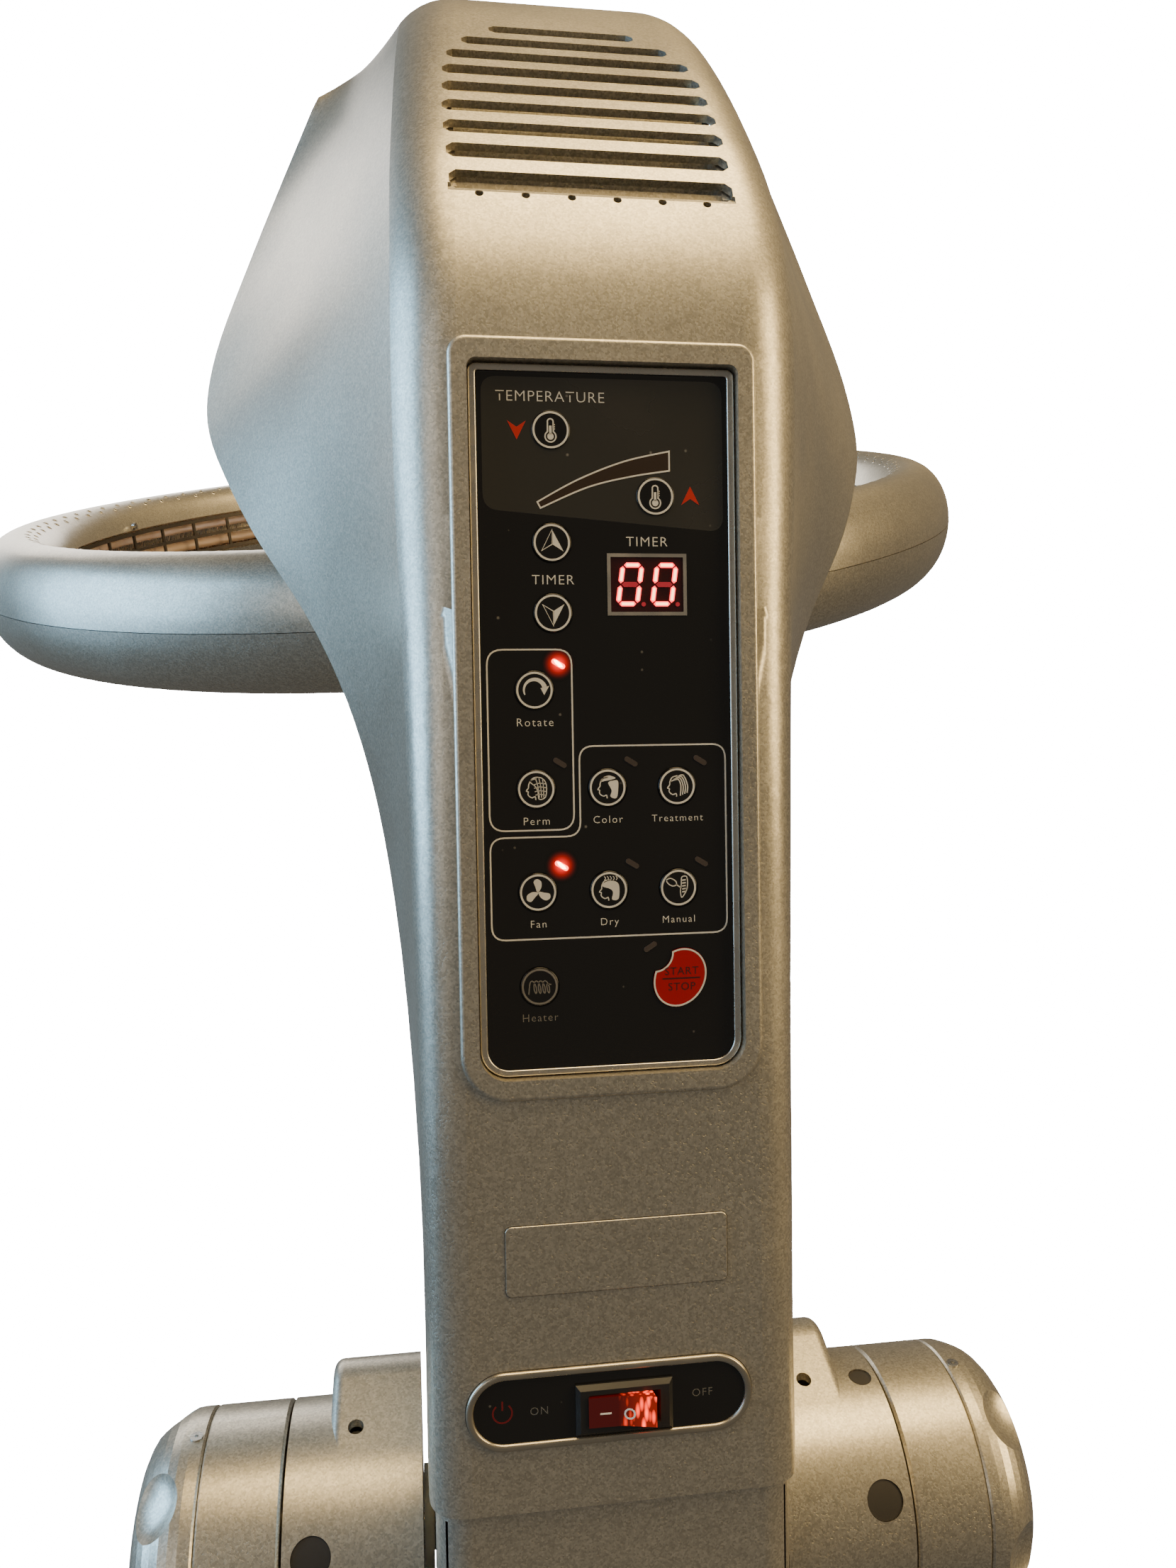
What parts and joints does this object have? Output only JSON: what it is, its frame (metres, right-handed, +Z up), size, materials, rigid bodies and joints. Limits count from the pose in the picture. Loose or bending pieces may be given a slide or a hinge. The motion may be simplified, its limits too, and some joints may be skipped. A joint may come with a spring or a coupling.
{
  "type": "hair processor head",
  "caption": "Hair processor head: heated halo ring orbiting on an inclined crank in front of a flared control housing, tilting on a knob-clamped fork with a post socket",
  "frame": {"origin": "centre of the mouth of the stand-post socket", "axes": "+Z up along the post, X along the tilt axle, the control panel faces -Y and the halo ring reaches towards +Y"},
  "size_m": [0.6594, 0.8262, 0.8],
  "materials": {
    "champagne_housing": "satin metallic-flake paint",
    "silver_trim": "satin silver",
    "black_overlay": "gloss black",
    "black_plastic": "matt black",
    "red_key": "gloss translucent red",
    "lamp_red": "lit red lens",
    "circuit_board": "solder-masked board",
    "cast_alloy": "cast and painted",
    "steel": "zinc-plated",
    "gear_nylon": "moulded nylon",
    "guard_metal": "satin wire guard",
    "reflector": "polished",
    "heater_glass": "frosted quartz"
  },
  "bodies": {
    "fork": {"fork_body": "cast_alloy", "socket_screw": "steel", "tilt_axle": "steel", "friction_washers": "gear_nylon", "left_drum_cover": "champagne_housing", "right_drum_cover": "champagne_housing", "drum_plugs": "black_plastic", "drum_screws": "steel"},
    "left_knob": {"left_knob_ring": "champagne_housing", "left_knob_cap": "champagne_housing", "left_knob_screws": "steel", "left_knob_nut": "steel"},
    "right_knob": {"right_knob_ring": "champagne_housing", "right_knob_cap": "champagne_housing", "right_knob_screws": "steel", "right_knob_nut": "steel"},
    "head": {"control_housing": "champagne_housing", "ring_side_housing": "champagne_housing", "neck_cover": "champagne_housing", "neck_frame": "cast_alloy", "panel_frame": "silver_trim", "panel_overlay": "black_overlay", "timer_display": "black_plastic", "timer_digits": "lamp_red", "indicator_lights": "lamp_red", "control_board": "circuit_board", "switch_rim": "silver_trim", "switch_plate": "black_overlay", "switch_frame": "black_plastic", "badge_plate": "silver_trim", "vent_louvre": "champagne_housing", "fan_frame": "black_plastic", "orbit_motor": "steel", "shaft_bearings": "black_plastic", "fixed_crown_gear": "gear_nylon"},
    "switch_rocker": {"switch_rocker": "red_key"},
    "fan_rotor": {"fan_rotor": "black_plastic"},
    "motor_pinion": {"motor_pinion": "gear_nylon"},
    "crank": {"crank_shaft": "steel", "drive_gear": "gear_nylon"},
    "halo_ring": {"ring_arm": "cast_alloy", "ring_upper_shell": "champagne_housing", "ring_lower_shell": "champagne_housing", "ring_grille": "guard_metal", "ring_reflector": "reflector", "heating_elements": "heater_glass", "ring_screws": "steel"},
    "temperature_down_key": {"temperature_down_key": "black_overlay"},
    "temperature_up_key": {"temperature_up_key": "black_overlay"},
    "timer_up_key": {"timer_up_key": "black_overlay"},
    "timer_down_key": {"timer_down_key": "black_overlay"},
    "rotate_key": {"rotate_key": "black_overlay"},
    "perm_key": {"perm_key": "black_overlay"},
    "color_key": {"color_key": "black_overlay"},
    "treatment_key": {"treatment_key": "black_overlay"},
    "fan_key": {"fan_key": "black_overlay"},
    "dry_key": {"dry_key": "black_overlay"},
    "manual_key": {"manual_key": "black_overlay"},
    "heater_key": {"heater_key": "black_overlay"},
    "start_stop_key": {"start_stop_key": "red_key"}
  },
  "joints": [
    {"name": "head_tilt", "type": "hinge", "parent": "fork", "child": "head", "pos_m": [0, 0, 0.17], "axis": [1, 0, 0], "range_deg": [-30, 25]},
    {"name": "left_knob_turn", "type": "hinge", "parent": "fork", "child": "left_knob", "pos_m": [-0.14, 0, 0.17], "axis": [1, 0, 0], "range_deg": [-90, 90]},
    {"name": "right_knob_turn", "type": "hinge", "parent": "fork", "child": "right_knob", "pos_m": [0.14, 0, 0.17], "axis": [1, 0, 0], "range_deg": [-90, 90]},
    {"name": "switch_rock", "type": "hinge", "parent": "head", "child": "switch_rocker", "pos_m": [0.0013, -0.069, 0.2516], "axis": [0, 0, 1], "range_deg": [0, 16]},
    {"name": "fan_spin", "type": "hinge", "parent": "head", "child": "fan_rotor", "pos_m": [0, 0.082, 0.686], "axis": [0, 1, 0], "continuous": true},
    {"name": "halo_orbit", "type": "hinge", "parent": "head", "child": "crank", "pos_m": [0, 0.056, 0.5118], "axis": [0, 0.9938, 0.1115], "continuous": true},
    {"name": "halo_hold", "type": "hinge", "parent": "crank", "child": "halo_ring", "pos_m": [0, 0.056, 0.5118], "axis": [-0.0335, 0.9587, 0.2823], "continuous": true},
    {"name": "pinion_spin", "type": "hinge", "parent": "head", "child": "motor_pinion", "pos_m": [0, -0.00893, 0.46266], "axis": [0, 0.9938, 0.1115], "continuous": true},
    {"name": "temperature_down_press", "type": "slide", "parent": "head", "child": "temperature_down_key", "axis": [0, 1, 0], "range_m": [0, 0.0005], "stiffness_N_per_m": 1500},
    {"name": "temperature_up_press", "type": "slide", "parent": "head", "child": "temperature_up_key", "axis": [0, 1, 0], "range_m": [0, 0.0005], "stiffness_N_per_m": 1500},
    {"name": "timer_up_press", "type": "slide", "parent": "head", "child": "timer_up_key", "axis": [0, 1, 0], "range_m": [0, 0.0005], "stiffness_N_per_m": 1500},
    {"name": "timer_down_press", "type": "slide", "parent": "head", "child": "timer_down_key", "axis": [0, 1, 0], "range_m": [0, 0.0005], "stiffness_N_per_m": 1500},
    {"name": "rotate_press", "type": "slide", "parent": "head", "child": "rotate_key", "axis": [0, 1, 0], "range_m": [0, 0.0005], "stiffness_N_per_m": 1500},
    {"name": "perm_press", "type": "slide", "parent": "head", "child": "perm_key", "axis": [0, 1, 0], "range_m": [0, 0.0005], "stiffness_N_per_m": 1500},
    {"name": "color_press", "type": "slide", "parent": "head", "child": "color_key", "axis": [0, 1, 0], "range_m": [0, 0.0005], "stiffness_N_per_m": 1500},
    {"name": "treatment_press", "type": "slide", "parent": "head", "child": "treatment_key", "axis": [0, 1, 0], "range_m": [0, 0.0005], "stiffness_N_per_m": 1500},
    {"name": "fan_press", "type": "slide", "parent": "head", "child": "fan_key", "axis": [0, 1, 0], "range_m": [0, 0.0005], "stiffness_N_per_m": 1500},
    {"name": "dry_press", "type": "slide", "parent": "head", "child": "dry_key", "axis": [0, 1, 0], "range_m": [0, 0.0005], "stiffness_N_per_m": 1500},
    {"name": "manual_press", "type": "slide", "parent": "head", "child": "manual_key", "axis": [0, 1, 0], "range_m": [0, 0.0005], "stiffness_N_per_m": 1500},
    {"name": "heater_press", "type": "slide", "parent": "head", "child": "heater_key", "axis": [0, 1, 0], "range_m": [0, 0.0005], "stiffness_N_per_m": 1500},
    {"name": "start_stop_press", "type": "slide", "parent": "head", "child": "start_stop_key", "axis": [0, 1, 0], "range_m": [0, 0.0005], "stiffness_N_per_m": 1500}
  ],
  "couplings": [
    {"joint": "halo_hold", "follows": "halo_orbit", "ratio": -1},
    {"joint": "pinion_spin", "follows": "halo_orbit", "ratio": -3.3333}
  ]
}
